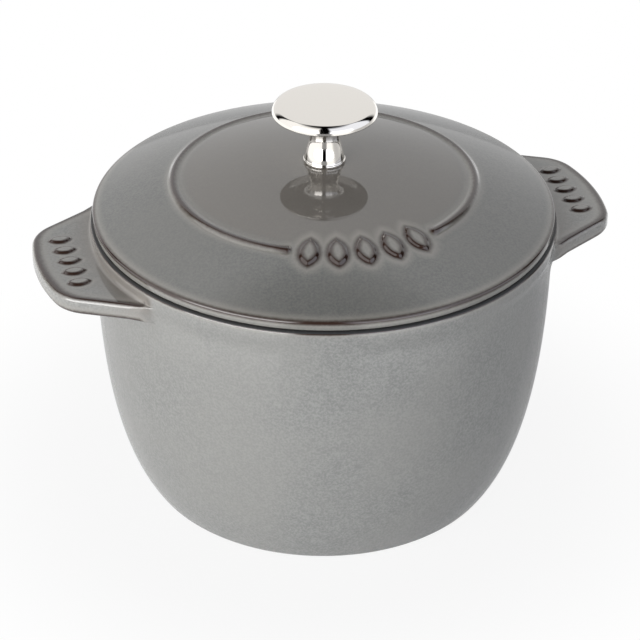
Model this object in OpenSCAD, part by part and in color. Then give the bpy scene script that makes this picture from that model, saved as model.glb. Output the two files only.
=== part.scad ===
// Tall round covered pot in enamelled cast iron, with two cast side handles and a domed lid.
// The origin is the middle of the base, +Z is up and the handles lie along X.

/* [Pot] */
// Height of the pot at its rim
pot_h = 106.8; // [90:0.1:130]
// Outer radius at the rim
rim_r = 83.4; // [82.6:0.1:86]
// Width of the rim from its outer to its inner wall
rim_w = 6; // [5:0.1:8]
// Radius of the rim's outer edge
rim_edge = 1.6; // [0.8:0.1:2.4]
// Radius of the rim's inner edge
rim_inner_edge = 1; // [0.6:0.1:2]
// Outer radius of the wall at its widest
belly_r = 82; // [78:0.1:82.6]
// How far below the rim the wall is at its widest
belly_drop = 11.6; // [9:0.1:20]
// Thickness of the wall
wall = 3.9; // [3:0.1:6]
// Thickness of the floor
floor_t = 4.6; // [3:0.1:8]
// Radius of the flat base
base_r = 60.2; // [54:0.1:64]
// Radius of the corner between the base and the wall
foot_corner = 6.3; // [4:0.1:10]
// Radius of the corner between the floor and the inside of the wall
floor_corner = 11; // [6:0.1:16]
// Angle between the wall and the upright where the foot's corner begins
foot_lean = 34; // [26:0.5:42]
// Fullness of the wall's curve below its widest place, as a share of its height
belly_fullness = 0.31; // [0.2:0.01:0.4]
// Fullness of the wall's curve above the foot's corner, as a share of its width
foot_fullness = 0.86; // [0.6:0.01:0.9]

/* [Handles] */
// Distance from the pot's axis to the tip of a handle
handle_reach = 104.85; // [98:0.05:115]
// How far a handle's top lies below the rim
handle_drop = 5.35; // [4:0.05:12]
// Thickness of a handle
handle_t = 6.25; // [4.5:0.05:8]
// Width across the tip, where the straight sides would meet it
tip_w = 47.5; // [38:0.5:52]
// Radius of the tip's curve, seen from above
tip_arc = 75; // [60:1:120]
// Angle round the pot, from the handle's middle, where each side would meet the wall
root_angle = 30.2; // [24:0.1:34]
// Radius of the two corners, seen from above
handle_corner = 14; // [6:0.5:16]
// Radius with which the sides run out into the wall, seen from above
side_flare = 10; // [4:0.5:14]
// Radius of a handle's upper and lower edges
handle_edge = 1.9; // [0.6:0.1:2.5]
// Radius between a handle's underside and the wall
under_fillet = 7.5; // [3:0.5:9]
// Radius between a handle's top and the wall
top_fillet = 1.6; // [0.8:0.1:2.5]

/* [Lid] */
// Outer radius of the lid
lid_r = 82.5; // [80:0.1:83]
// Height of the lid's upright edge
lid_edge_h = 3.6; // [2.5:0.1:6]
// Rise of the dome from the top of its edge to its crest
lid_rise = 17.2; // [12:0.1:22]
// Thickness of the lid
lid_t = 4.2; // [3:0.1:5.5]
// Radius of the lid's upper outer edge
lid_edge = 1; // [0.6:0.1:1.6]
// Radius of the lid's lower outer edge
lid_lower_edge = 0.8; // [0.4:0.1:1.2]
// Depth of the lip that locates the lid inside the rim
lip_h = 4; // [3:0.1:6]
// Width of the locating lip
lip_w = 3.2; // [2.4:0.1:5]
// Gap between the locating lip and the inside of the rim
lip_gap = 0.8; // [0.5:0.1:1.5]
// Angle by which the lid is turned on the pot
lid_turn = -2; // [-180:1:180]
// Radius of the raised ring
ring_r = 53.6; // [45:0.1:62]
// Width of the raised ring
ring_w = 4.2; // [2.4:0.1:5]
// Height of the raised ring above the dome
ring_h = 1; // [0.5:0.1:1.1]
// Angle that the ring leaves open at the front
ring_gap = 58; // [50:1:80]
// Number of rows of basting pegs under the lid
peg_rows = 3; // [1:1:3]
// Radius of the innermost row of pegs
peg_first_r = 22; // [20:0.5:26]
// Distance from one row of pegs to the next
peg_pitch = 19.5; // [14:0.5:20]
// Number of pegs in the innermost row, and what each further row adds
peg_step = 6; // [4:1:8]
// Length of a peg
peg_h = 2.8; // [2:0.1:4]
// Radius of a peg at its root
peg_r = 2.2; // [1.6:0.1:3]

/* [Raised marks] */
// Number of marks in a row
mark_count = 5; // [3:2:5]
// Height of the marks above the lid or the handle
mark_h = 0.8; // [0.4:0.1:1.2]
// Length of a mark on the lid
lid_mark_l = 12; // [7:0.1:14]
// Width of a mark on the lid
lid_mark_w = 6.6; // [3:0.1:8]
// Angle from one mark on the lid to the next
lid_mark_pitch = 10.4; // [8:0.1:11]
// Length of a mark on a handle
handle_mark_l = 8.2; // [6:0.1:9]
// Width of a mark on a handle
handle_mark_w = 5; // [2.5:0.1:6]
// Distance from one mark on a handle to the next
handle_mark_pitch = 7.7; // [6:0.1:8]

/* [Knob] */
// Height of the knob
knob_h = 23.1; // [20:0.1:30]
// Radius of the knob's cap
cap_r = 18.6; // [15:0.1:22]
// Height of the cap, from its widest place to its crest
cap_h = 3.9; // [3.2:0.1:5]
// Radius of the edge of the cap's top
cap_top_r = 17.1; // [13:0.1:17.8]
// Height of the crest above the edge of the cap's top
cap_crown = 1.2; // [0.5:0.1:1.8]
// Angle between the cap's rounding and the level, at the edge of its top
cap_slope = 36; // [25:1:45]
// Radius of the neck at its narrowest place
neck_r = 5.4; // [4.5:0.1:6.5]
// Height of the neck's narrowest place above the foot
waist_z = 10.5; // [8:0.1:13]
// Angle between the neck and the upright where it leaves the foot
neck_lean = 7; // [2:1:14]
// Radius of the foot
foot_r = 7.5; // [6.8:0.1:9]
// Height of the foot's upright edge
foot_h = 0.9; // [0.5:0.1:1.5]

/* [Screw] */
// Diameter of the screw
screw_d = 6; // [5:0.5:6.5]
// Length of thread that goes into the knob
screw_bite = 10; // [7:0.5:13]
// Room left in the knob beyond the screw's end
bore_room = 2; // [1:0.5:3]
// Clearance round the thread, on the radius
thread_gap = 0.1; // [0.05:0.05:0.2]
// Clearance round the screw in the lid and in the washer, on the radius
screw_gap = 0.4; // [0.2:0.1:0.6]
// Diameter of the screw's head
head_d = 11.5; // [10:0.1:13]
// Height of the screw's head
head_h = 3.4; // [2.6:0.1:4.5]
// Width of the slot in the screw's head
slot_w = 1.4; // [1:0.1:2]
// Depth of the slot in the screw's head
slot_depth = 1.5; // [1:0.1:2]
// Outer diameter of the washer
washer_d = 14; // [13:0.5:16]
// Thickness of the washer
washer_t = 1.2; // [0.8:0.1:2]

/* [Hidden] */

enamel = [0.50, 0.51, 0.50];
polished_steel = [0.86, 0.85, 0.83];
zinc = [0.70, 0.71, 0.72];

// Steps along the curves, and facets of what is round
wall_steps = 22;
edge_steps = 4;
dome_steps = 20;
station_angle = 1.25;
$fn = 96;

// Heights and radii of the pot
belly_z = pot_h - belly_drop;
rim_in_r = rim_r - rim_w;
inner_belly_r = belly_r - wall;

// The inside of the foot: its corner touches the floor and a line parallel to the outer lean
outer_line = (base_r + foot_corner * cos(foot_lean)) * cos(foot_lean)
           - foot_corner * (1 - sin(foot_lean)) * sin(foot_lean);
floor_r = (outer_line - wall - floor_corner + (floor_t + floor_corner) * sin(foot_lean))
        / cos(foot_lean);

// Heights of the handles, and how deep their roots reach into the wall
handle_top = pot_h - handle_drop;
handle_bottom = handle_top - handle_t;
root_bite = 0.6;
root_angle_bite = 1;
root_r = belly_r - wall / 2;
flush_r = belly_r - root_bite;

// Plan of a handle: each side runs from the tip's end to the wall, and circles join them
tip_centre = [handle_reach - tip_arc, 0];
side_tip = [tip_centre[0] + sqrt(tip_arc ^ 2 - (tip_w / 2) ^ 2), tip_w / 2];
side_root = flush_r * [cos(root_angle), sin(root_angle)];
side_along = unit(side_tip - side_root);
side_out = [-side_along[1], side_along[0]];
side_offset = side_tip * side_out;
corner_across = side_offset - handle_corner - tip_centre * side_out;
corner_centre = tip_centre + corner_across * side_out
    + sqrt((tip_arc - handle_corner) ^ 2 - corner_across ^ 2) * side_along;
flare_centre = (side_offset + side_flare) * side_out
    + sqrt((flush_r + side_flare) ^ 2 - (side_offset + side_flare) ^ 2) * side_along;
tip_end = tip_centre + tip_arc * unit(corner_centre - tip_centre);
side_start = corner_centre + handle_corner * side_out;
side_end = flare_centre - side_flare * side_out;
flare_end = flare_centre * flush_r / (flush_r + side_flare);
handle_mark_r = (flush_r + handle_reach) / 2;

// Heights and radii of the lid
seat_z = pot_h;
lid_edge_z = seat_z + lid_edge_h;
crest_z = lid_edge_z + lid_rise;
dome_drop = lid_rise + lid_edge;
dome_r = ((lid_r - lid_edge) ^ 2 + dome_drop ^ 2 - lid_edge ^ 2) / (2 * (dome_drop - lid_edge));
dome_centre_z = crest_z - dome_r;
dome_end_a = atan2(lid_edge_z - lid_edge - dome_centre_z, lid_r - lid_edge);
lip_r = rim_in_r - lip_gap;
lip_in_r = lip_r - lip_w;
lip_round = lip_w / 4;

// The raised ring's rounded ends are this much finer than the ring
ring_end_step = 0.1;

// The flat pads where the knob and the washer sit, and the height of the washer's boss
boss_h = 0.6;
pad_margin = 0.8;
boss_margin = 1.5;
pad_r = foot_r + pad_margin;
pad_z = dome_z(pad_r);
boss_r = washer_d / 2 + boss_margin;
boss_z = inner_dome_z(boss_r) - boss_h;
lid_hole_r = screw_d / 2 + screw_gap;

// Heights of the knob, measured from its foot, and its small broken edges
knob_z = pad_z;
widest_z = knob_h - cap_h;
cap_edge_z = knob_h - cap_crown;
knob_break = 0.3;
cap_lip = 0.5;
cap_undercut = 1.6;

// Height of the screw's head, where it meets the washer, and its broken edge
head_top_z = boss_z - washer_t;
screw_break = 0.5;

// How far a cut reaches past the face that it opens
past = 1;

// Point or vector of length one in the same direction
function unit(v) = v / norm(v);

// Points round an arc, without its first point
function arc(centre, r, from, to, steps) =
    [for (i = [1:steps]) let (a = from + (to - from) * i / steps)
        centre + r * [cos(a), sin(a)]];

// Points along a cubic curve with four control points, without its first point
function cubic(p, steps) =
    [for (i = [1:steps]) let (t = i / steps, s = 1 - t)
        s ^ 3 * p[0] + 3 * s ^ 2 * t * p[1] + 3 * s * t ^ 2 * p[2] + t ^ 3 * p[3]];

// The same points in the other order
function reversed(points) = [for (i = [len(points) - 1:-1:0]) points[i]];

// Wall from its widest place down to the flat: a cubic that leaves upright, and a corner
function wall_curve(wide_r, flat_r, flat_z, corner) =
    let (tangent = [flat_r + corner * cos(foot_lean), flat_z + corner * (1 - sin(foot_lean))],
         run = foot_fullness * (wide_r - tangent[0]))
    concat(cubic([[wide_r, belly_z],
                  [wide_r, belly_z - belly_fullness * (belly_z - tangent[1])],
                  tangent + [run, run / tan(foot_lean)],
                  tangent], wall_steps),
           arc([flat_r, flat_z + corner], corner, -foot_lean, -90, edge_steps));

// An easy double bend between two upright stretches
function bend(from, to, steps) =
    let (half_rise = [0, (to[1] - from[1]) / 2])
    cubic([from, from + half_rise, to - half_rise, to], steps);

// Height of the dome's outer and inner surface at a radius
function dome_z(r) = dome_centre_z + sqrt(dome_r ^ 2 - r ^ 2);
function inner_dome_z(r) = dome_centre_z + sqrt((dome_r - lid_t) ^ 2 - r ^ 2);

// Where a ray from the pot's axis leaves a circle, on its far or its near side
function ray_circle(direction, centre, r, far) =
    let (along = centre * direction)
    along + (far ? 1 : -1) * sqrt(max(0, r ^ 2 - centre * centre + along ^ 2));

// Direction of a point as an angle from the handle's own line
function bearing(p) = atan2(p[1], p[0]);

// Distance from the pot's axis to the handle's outline: tip, corner, straight side and flare
function outline(angle) =
    let (a = abs(angle), d = [cos(a), sin(a)])
    a < bearing(tip_end) ? ray_circle(d, tip_centre, tip_arc, true)
    : a < bearing(side_start) ? ray_circle(d, corner_centre, handle_corner, true)
    : a < bearing(side_end) ? side_offset / (side_out * d)
    : ray_circle(d, flare_centre, side_flare, false);

// Section of a handle at an angle, from the root's lower end round to its upper end
function handle_section(angle) =
    let (stand = outline(angle) - flush_r,
         edge = min(handle_edge, stand / 3),
         under = min(under_fillet, stand / 2),
         top = min(top_fillet, stand / 4),
         out_r = flush_r + stand)
    concat([[root_r, handle_bottom - under_fillet], [flush_r, handle_bottom - under_fillet]],
           [for (p = arc([1, 0], 1, 180, 90, edge_steps))
               [flush_r + under * p[0], handle_bottom - under_fillet * (1 - p[1])]],
           [[out_r - edge, handle_bottom]],
           arc([out_r - edge, handle_bottom + edge], edge, -90, 0, edge_steps),
           [[out_r, handle_top - edge]],
           arc([out_r - edge, handle_top - edge], edge, 0, 90, edge_steps),
           [[flush_r + top, handle_top]],
           [for (p = arc([1, 0], 1, -90, -180, edge_steps))
               [flush_r + top * p[0], handle_top + top_fillet * (1 + p[1])]],
           [[root_r, handle_top + top_fillet]]);

// A long pointed oval, raised from the surface below it
module mark(length, width) {
    r = (length ^ 2 + width ^ 2) / (4 * width);
    translate([0, 0, -mark_h])
        linear_extrude(2 * mark_h)
            intersection() {
                translate([width / 2 - r, 0]) circle(r);
                translate([r - width / 2, 0]) circle(r);
            }
}

module handle_marks() {
    first = -(mark_count - 1) / 2 * handle_mark_pitch;
    for (i = [0:mark_count - 1])
        translate([handle_mark_r, first + i * handle_mark_pitch, handle_top])
            rotate(90) mark(handle_mark_l, handle_mark_w);
}

// The handle's section is carried round the wall, from one run-out to the other
module handle() {
    end = bearing(flare_end) - root_angle_bite;
    count = ceil(2 * end / station_angle);
    sections = [for (i = [0:count]) handle_section(-end + 2 * end * i / count)];
    m = len(sections[0]);
    points = [for (i = [0:count]) let (a = -end + 2 * end * i / count)
        for (p = sections[i]) [p[0] * cos(a), p[0] * sin(a), p[1]]];
    sides = [for (i = [0:count - 1]) for (j = [0:m - 1]) let (k = (j + 1) % m)
        each [[i * m + j, (i + 1) * m + k, (i + 1) * m + j], [i * m + j, i * m + k, (i + 1) * m + k]]];
    polyhedron(points, concat(sides, [[for (j = [0:m - 1]) m - 1 - j]],
                              [[for (j = [0:m - 1]) count * m + j]]), convexity = 6);
}

module pot() {
    rim_shoulder_z = pot_h - rim_edge;
    inner_shoulder_z = pot_h - rim_inner_edge;
    profile = concat(
        [[0, 0]],
        reversed(wall_curve(belly_r, base_r, 0, foot_corner)),
        [[belly_r, belly_z]],
        bend([belly_r, belly_z], [rim_r, rim_shoulder_z], 2 * edge_steps),
        arc([rim_r - rim_edge, rim_shoulder_z], rim_edge, 0, 90, edge_steps),
        [[rim_in_r + rim_inner_edge, pot_h]],
        arc([rim_in_r + rim_inner_edge, inner_shoulder_z], rim_inner_edge, 90, 180, edge_steps),
        bend([rim_in_r, inner_shoulder_z], [inner_belly_r, belly_z], edge_steps),
        wall_curve(inner_belly_r, floor_r, floor_t, floor_corner),
        [[0, floor_t]]);
    color(enamel) {
        rotate_extrude() polygon(profile);
        for (side = [0, 180]) rotate(side) {
            handle();
            handle_marks();
        }
    }
}

// The raised ring's section is a segment of a circle that stands on the dome
module ring() {
    bulge_r = ((ring_w / 2) ^ 2 + ring_h ^ 2) / (2 * ring_h);
    lean = asin(ring_r / dome_r);
    centre_at = dome_r + ring_h - bulge_r;
    centre = [centre_at * sin(lean), dome_centre_z + centre_at * cos(lean)];
    start = ring_gap / 2 - 90;
    rotate(start)
        rotate_extrude(angle = 360 - ring_gap)
            translate(centre) circle(bulge_r, $fn = 32);
    for (a = [start, -180 - start])
        rotate(a) translate([centre[0], 0, centre[1]]) sphere(bulge_r - ring_end_step, $fn = 32);
}

module lid_marks() {
    lean = asin(ring_r / dome_r);
    first = -90 - (mark_count - 1) / 2 * lid_mark_pitch;
    for (i = [0:mark_count - 1])
        rotate(first + i * lid_mark_pitch)
            translate([0, 0, dome_centre_z])
                rotate([0, lean, 0])
                    translate([0, 0, dome_r]) rotate(90) mark(lid_mark_l, lid_mark_w);
}

// A short tapered peg with a round end, hanging from the underside
module peg() {
    tip_r = peg_r / 2;
    profile = concat([[0, -peg_h]], arc([0, tip_r - peg_h], tip_r, -90, 0, edge_steps),
                     [[peg_r, 0], [peg_r, lid_t / 2], [0, lid_t / 2]]);
    rotate_extrude($fn = 24) polygon(profile);
}

module pegs() {
    for (row = [0:peg_rows - 1], i = [0:peg_step * (row + 1) - 1])
        let (r = peg_first_r + row * peg_pitch)
        rotate(360 * (i + row / 2) / (peg_step * (row + 1)))
            translate([r, 0, inner_dome_z(r)]) peg();
}

module lid() {
    edge_centre = [lid_r - lid_edge, lid_edge_z - lid_edge];
    pad_a = acos(pad_r / dome_r);
    inner_r = dome_r - lid_t;
    profile = concat(
        [[lid_hole_r, pad_z], [pad_r, pad_z]],
        arc([0, dome_centre_z], dome_r, pad_a, dome_end_a, dome_steps),
        arc(edge_centre, lid_edge, dome_end_a, 0, edge_steps),
        [[lid_r, seat_z + lid_lower_edge]],
        arc([lid_r - lid_lower_edge, seat_z + lid_lower_edge], lid_lower_edge, 0, -90, edge_steps),
        [[lip_r, seat_z], [lip_r, seat_z - lip_h + lip_round]],
        arc([lip_r - lip_round, seat_z - lip_h + lip_round], lip_round, 0, -90, edge_steps),
        [[lip_in_r + lip_round, seat_z - lip_h]],
        arc([lip_in_r + lip_round, seat_z - lip_h + lip_round], lip_round, -90, -180, edge_steps),
        [[lip_in_r, inner_dome_z(lip_in_r)]],
        arc([0, dome_centre_z], inner_r, acos(lip_in_r / inner_r), acos(boss_r / inner_r), dome_steps),
        [[boss_r, boss_z], [lid_hole_r, boss_z]]);
    color(enamel)
        rotate(lid_turn) {
            rotate_extrude() polygon(profile);
            ring();
            lid_marks();
            pegs();
        }
}

module knob() {
    bore_r = screw_d / 2 + thread_gap;
    bore_depth = screw_bite + bore_room;
    flare_z = widest_z - cap_undercut;
    brow = (cap_edge_z - widest_z) / 2;
    slope = brow * 2 / 3 * [-cos(cap_slope), sin(cap_slope)];
    brow_end = [cap_top_r, cap_edge_z];
    foot_top = [foot_r - knob_break, foot_h + knob_break];
    rise = (waist_z - foot_top[1]) / 3;
    profile = concat(
        [[0, bore_depth], [bore_r, bore_depth], [bore_r, 0], [foot_r - knob_break, 0],
         [foot_r, knob_break], [foot_r, foot_h], foot_top],
        cubic([foot_top, foot_top + rise * [-tan(neck_lean), 1],
               [neck_r, waist_z - rise], [neck_r, waist_z]], 2 * edge_steps),
        cubic([[neck_r, waist_z], [neck_r, (waist_z + 2 * flare_z) / 3],
               [neck_r + cap_undercut, flare_z], [cap_r / 2, flare_z]], 2 * edge_steps),
        cubic([[cap_r / 2, flare_z], [cap_r * 2 / 3, flare_z],
               [cap_r * 5 / 6, widest_z - cap_lip], [cap_r - knob_break, widest_z - cap_lip]],
              edge_steps),
        arc([cap_r - knob_break, widest_z - cap_lip + knob_break], knob_break, -90, 0, edge_steps),
        cubic([[cap_r, widest_z], [cap_r, widest_z + brow], brow_end - slope, brow_end], 2 * edge_steps),
        cubic([brow_end, brow_end + slope, [cap_top_r / 2, knob_h], [0, knob_h]], 2 * edge_steps));
    color(polished_steel)
        translate([0, 0, knob_z]) rotate_extrude() polygon(profile);
}

module knob_screw() {
    r = screw_d / 2;
    end_z = knob_z + screw_bite;
    head_r = head_d / 2;
    foot_z = head_top_z - head_h;
    crown = head_h / 2;
    profile = concat(
        [[0, end_z], [0, foot_z]],
        cubic([[0, foot_z], [head_r / 2, foot_z], [head_r, foot_z + crown / 2],
               [head_r, foot_z + crown]], 2 * edge_steps),
        [[head_r, head_top_z], [r, head_top_z], [r, end_z - screw_break],
         [r - screw_break, end_z]]);
    color(zinc)
        difference() {
            rotate_extrude($fn = 48) polygon(profile);
            translate([-head_r - past, -slot_w / 2, foot_z - past])
                cube([head_d + 2 * past, slot_w, slot_depth + past]);
        }
}

module knob_washer() {
    color(zinc)
        translate([0, 0, head_top_z])
            difference() {
                cylinder(h = washer_t, d = washer_d);
                translate([0, 0, -past])
                    cylinder(h = washer_t + 2 * past, r = screw_d / 2 + screw_gap);
            }
}

pot();
lid();
knob();
knob_screw();
knob_washer();
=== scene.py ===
"""Looks of a tall round covered pot in enamelled cast iron, with cast handles and a domed lid.

Lengths are in millimetres until a mesh is made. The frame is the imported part's own: the origin is
the middle of the base, +Z is up and the handles lie along X.
"""

import logging
import math
from dataclasses import dataclass, field
from enum import Enum

import bmesh
import bpy
import numpy as np
from mathutils import Matrix, Vector


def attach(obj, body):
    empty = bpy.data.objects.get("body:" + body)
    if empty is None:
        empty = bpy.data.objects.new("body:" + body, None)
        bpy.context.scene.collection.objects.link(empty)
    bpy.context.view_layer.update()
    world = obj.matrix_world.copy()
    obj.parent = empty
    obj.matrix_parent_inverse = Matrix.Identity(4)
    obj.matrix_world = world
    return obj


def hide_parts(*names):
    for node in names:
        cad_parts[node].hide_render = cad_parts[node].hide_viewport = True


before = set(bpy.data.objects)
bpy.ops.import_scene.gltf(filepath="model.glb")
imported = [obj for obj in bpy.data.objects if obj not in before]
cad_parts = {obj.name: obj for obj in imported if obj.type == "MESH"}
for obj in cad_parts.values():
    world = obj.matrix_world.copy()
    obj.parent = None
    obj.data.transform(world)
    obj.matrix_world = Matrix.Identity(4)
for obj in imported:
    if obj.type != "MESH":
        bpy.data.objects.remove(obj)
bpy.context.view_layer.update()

MM = 0.001
NO_MARK = -9.0
log = logging.getLogger("covered_pot")

Tree = bpy.types.NodeTree
Socket = bpy.types.NodeSocket
Number = Socket | float
Colour = tuple[float, float, float, float]


class Ends(Enum):
    """How a surface's first and last rows close."""

    POLES = "each end row is one point"
    LOOP = "the last row joins the first"


def linear(code: str) -> Colour:
    """Turns an sRGB hex colour into linear light.

    Args:
        code: six hex digits, such as "8a8c8b".

    Returns:
        Linear red, green and blue, and an alpha of 1.
    """
    parts = [int(code[i : i + 2], 16) / 255 for i in (0, 2, 4)]
    light = [c / 12.92 if c <= 0.04045 else ((c + 0.055) / 1.055) ** 2.4 for c in parts]
    return (*light, 1.0)


def smooth(x: np.ndarray) -> np.ndarray:
    """Eases from 0 to 1: 3x² - 2x³ of x held between 0 and 1."""
    x = np.clip(x, 0, 1)
    return x * x * (3 - 2 * x)


def arc(centre: tuple[float, float], radius: float, start: float, end: float, count: int) -> np.ndarray:
    """Points round an arc: the centre plus the radius times cosine and sine.

    Args:
        centre: the arc's centre in the section's plane.
        radius: its radius.
        start: angle of its first point, in degrees.
        end: angle of its last point, in degrees.
        count: how many points.

    Returns:
        An array of count points.
    """
    a = np.radians(np.linspace(start, end, count))
    return np.stack([centre[0] + radius * np.cos(a), centre[1] + radius * np.sin(a)], axis=1)


def cubic(points: list[tuple[float, float]], count: int) -> np.ndarray:
    """Points along a cubic curve: the four control points weighted by s³, 3s²t, 3st² and t³.

    Args:
        points: the four control points.
        count: how many points.

    Returns:
        An array of count points.
    """
    t = np.linspace(0, 1, count)[:, None]
    s = 1 - t
    p = np.array(points, float)
    return s**3 * p[0] + 3 * s**2 * t * p[1] + 3 * s * t**2 * p[2] + t**3 * p[3]


def joined(*runs: np.ndarray) -> np.ndarray:
    """Puts runs of points end to end, and leaves out a point that repeats the one before it.

    Args:
        runs: lines of points, in order.

    Returns:
        One line of points.
    """
    p = np.concatenate([np.asarray(r, float).reshape(-1, 2) for r in runs])
    keep = np.concatenate([[True], np.linalg.norm(np.diff(p, axis=0), axis=1) > 1e-6])
    return p[keep]


def spread(points: np.ndarray, count: int) -> np.ndarray:
    """Points at equal steps of length along a line of points.

    Args:
        points: the line.
        count: how many points to lay on it.

    Returns:
        An array of count points, its ends those of the line.
    """
    run = np.concatenate([[0], np.cumsum(np.linalg.norm(np.diff(points, axis=0), axis=1))])
    at = np.linspace(0, run[-1], count)
    return np.stack([np.interp(at, run, points[:, 0]), np.interp(at, run, points[:, 1])], axis=1)


def run_lengths(radius: np.ndarray, height: np.ndarray) -> np.ndarray:
    """Length along each column of a grid of sections, from its first row."""
    steps = np.hypot(np.diff(radius, axis=0), np.diff(height, axis=0))
    return np.concatenate([np.zeros((1, steps.shape[1])), np.cumsum(steps, axis=0)])


def turned(radius: np.ndarray, height: np.ndarray, azimuth: np.ndarray) -> np.ndarray:
    """Carries sections round the axis: x is radius times cosine, y radius times sine, z the height.

    Args:
        radius: rows by columns, or rows by one.
        height: rows by columns, or rows by one.
        azimuth: the columns' angles, in degrees.

    Returns:
        Rows by columns by three.
    """
    a = np.radians(azimuth)[None, :]
    return np.stack(np.broadcast_arrays(radius * np.cos(a), radius * np.sin(a), height), axis=2)


def pointed_oval(across: np.ndarray, along: np.ndarray, width: float, length: float) -> np.ndarray:
    """How far inside a pointed oval a point lies: the oval is where two equal circles overlap.

    Each circle passes through both tips and bulges by half the width, so its radius is
    (length² + width²) / 4 width.

    Args:
        across: distance from the oval's middle across it.
        along: distance from its middle along it.
        width: the oval's width.
        length: its length from tip to tip.

    Returns:
        Distance to the nearer circle, positive inside the oval.
    """
    radius = (length**2 + width**2) / (4 * width)
    return radius - np.hypot(np.abs(across) + radius - width / 2, along)


def surface(
    name: str,
    points: np.ndarray,
    ends: Ends,
    values: dict[str, np.ndarray] | None = None,
    finish_of_row: np.ndarray | None = None,
) -> bpy.types.Object:
    """Makes an object from a grid of points whose columns close round the axis.

    Args:
        name: the object's name.
        points: rows by columns by three, in millimetres.
        ends: how the first and last rows close.
        values: named numbers for each point, which the finishes read.
        finish_of_row: the material's index for each row of faces.

    Returns:
        The new object, at the origin, with smooth faces that point outwards.
    """
    rows, columns = points.shape[:2]
    poles = ends is Ends.POLES
    index = np.arange(rows * columns).reshape(rows, columns)
    if poles:
        index = np.maximum(index - columns + 1, 0)
        index[-1] = index[-2, -1] + 1
    lower = index if not poles else index[1:-1]
    upper = np.roll(lower, -1, axis=0) if not poles else lower[1:]
    lower = lower if not poles else lower[:-1]
    quads = np.stack([lower, np.roll(lower, -1, 1), np.roll(upper, -1, 1), upper], axis=2)
    face_rows = np.repeat(np.arange(len(quads)) + (1 if poles else 0), columns)
    faces = quads.reshape(-1, 4).tolist()
    picks = points.reshape(-1, 3)
    if poles:
        first = np.stack([index[0], np.roll(index[1], -1), index[1]], axis=1)
        last = np.stack([index[-1], index[-2], np.roll(index[-2], -1)], axis=1)
        faces += first.tolist() + last.tolist()
        face_rows = np.concatenate([face_rows, np.zeros(columns, int), np.full(columns, rows - 2)])
        picks = np.concatenate([points[0, :1], points[1:-1].reshape(-1, 3), points[-1, :1]])
    mesh = bpy.data.meshes.new(name)
    mesh.from_pydata((picks * MM).tolist(), [], faces)
    for key, grid in (values or {}).items():
        grid = np.broadcast_to(grid, (rows, columns))
        flat = grid.reshape(-1)
        if poles:
            flat = np.concatenate([grid[0, :1], grid[1:-1].reshape(-1), grid[-1, :1]])
        layer = mesh.attributes.new(key, "FLOAT", "POINT")
        layer.data.foreach_set("value", flat.astype(np.float32))
    if finish_of_row is not None:
        mesh.polygons.foreach_set("material_index", finish_of_row[face_rows].astype(np.int32))
    mesh.shade_smooth()
    if signed_volume(mesh) < 0:
        mesh.flip_normals()
    mesh.update()
    made = bpy.data.objects.new(name, mesh)
    bpy.context.scene.collection.objects.link(made)
    return made


def signed_volume(mesh: bpy.types.Mesh) -> float:
    """Volume inside a closed mesh: a sixth of the sum of a·(b×c) over its triangles.

    Args:
        mesh: the mesh.

    Returns:
        The volume, negative where its faces point inwards.
    """
    mesh.calc_loop_triangles()
    corners = np.zeros(len(mesh.loop_triangles) * 3, np.int32)
    mesh.loop_triangles.foreach_get("vertices", corners)
    places = np.zeros(len(mesh.vertices) * 3)
    mesh.vertices.foreach_get("co", places)
    a, b, c = places.reshape(-1, 3)[corners.reshape(-1, 3)].transpose(1, 0, 2)
    return float(np.einsum("ij,ij->i", a, np.cross(b, c)).sum() / 6)


def weld(mesh: bpy.types.Mesh) -> None:
    """Merges points that lie together, and turns the faces outwards.

    Args:
        mesh: the mesh, which is changed in place.
    """
    work = bmesh.new()
    work.from_mesh(mesh)
    bmesh.ops.remove_doubles(work, verts=work.verts, dist=1e-7)
    bmesh.ops.dissolve_degenerate(work, edges=work.edges, dist=1e-8)
    bmesh.ops.recalc_face_normals(work, faces=work.faces)
    work.to_mesh(mesh)
    work.free()


def heading(azimuth: float, elevation: float) -> Vector:
    """Direction from the pot: azimuth 0 is towards -Y, and positive turns towards +X."""
    a, e = math.radians(azimuth), math.radians(elevation)
    return Vector((math.sin(a) * math.cos(e), -math.cos(a) * math.cos(e), math.sin(e)))


def add_node(
    tree: Tree, kind: str, inputs: dict[str | int, object] | None = None, **settings: object
) -> bpy.types.Node:
    """Adds a node, sets its options, and fills or links its inputs.

    Args:
        tree: the node tree.
        kind: the node's type name, such as "ShaderNodeMath".
        inputs: input name or number to a value, or to the output socket that feeds it.
        settings: the node's own options.

    Returns:
        The new node.
    """
    node = tree.nodes.new(kind)
    for key, value in settings.items():
        setattr(node, key, value)
    for key, value in (inputs or {}).items():
        if isinstance(value, Socket):
            tree.links.new(value, node.inputs[key])
        else:
            node.inputs[key].default_value = value
    return node


def new_material(name: str) -> tuple[bpy.types.Material, Tree]:
    """Makes an empty material with nodes.

    Args:
        name: the finish and how it is made.

    Returns:
        The material and its node tree.
    """
    material = bpy.data.materials.new(name)
    material.use_nodes = True
    material.node_tree.nodes.clear()
    return material, material.node_tree


def close_material(tree: Tree, shader: Socket) -> None:
    """Links the last shader to the material's output."""
    add_node(tree, "ShaderNodeOutputMaterial", {"Surface": shader})


def noise(tree: Tree, grain: float, detail: float = 2.0, rough: float = 0.5) -> Socket:
    """Adds noise on the piece's own coordinates.

    Args:
        tree: the node tree.
        grain: the size of its spots in millimetres.
        detail: how many finer octaves it has.
        rough: how strong those are.

    Returns:
        The socket of the noise's value, from 0 to 1.
    """
    place = add_node(tree, "ShaderNodeTexCoord").outputs["Object"]
    inputs = {"Vector": place, "Scale": 1 / (grain * MM), "Detail": detail, "Roughness": rough}
    return add_node(tree, "ShaderNodeTexNoise", inputs).outputs[0]


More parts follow.
